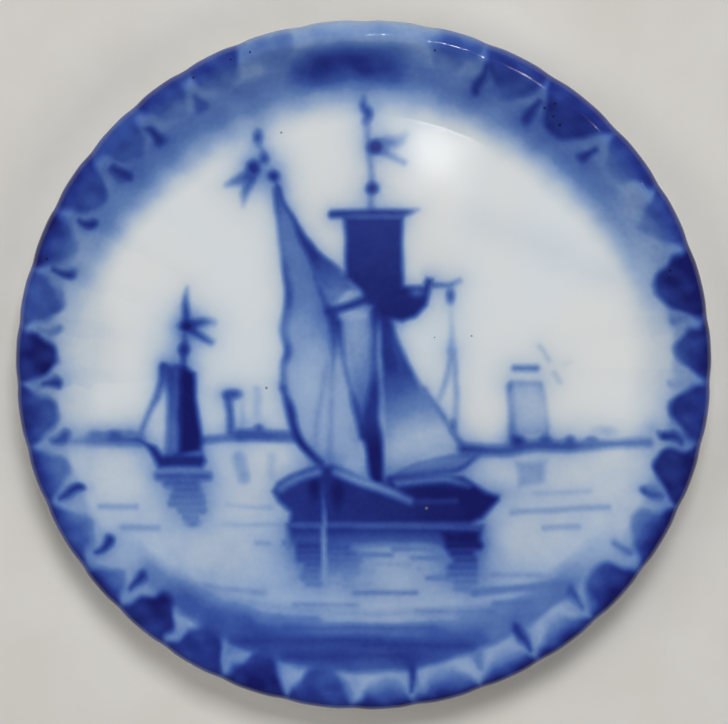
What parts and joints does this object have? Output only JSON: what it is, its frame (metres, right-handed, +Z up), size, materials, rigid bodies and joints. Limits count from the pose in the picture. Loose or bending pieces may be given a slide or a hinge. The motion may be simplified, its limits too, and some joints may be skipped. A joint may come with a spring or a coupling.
{
  "type": "souvenir plate",
  "caption": "Small round porcelain souvenir dish on a foot ring, with a softly scalloped rim, painted in cobalt blue with sailing boats under a clear glaze.",
  "frame": {"origin": "centre of the foot ring, on the plane the plate stands on", "axes": "+Z up out of the dish, +Y towards the top of its picture"},
  "size_m": [0.045, 0.045, 0.0055],
  "materials": {
    "biscuit": "matte, finely grained, warm white fired clay with no glaze",
    "painted_glaze": "glossy, bluish white, hand-painted in cobalt blue under the glaze, the strokes soft where they bled",
    "clear_glaze": "glossy, bluish white, plain"
  },
  "bodies": {
    "root": {"porcelain_body": "biscuit", "foot_ring": "biscuit", "outer_glaze": "painted_glaze", "recess_glaze": "clear_glaze"}
  },
  "joints": []
}
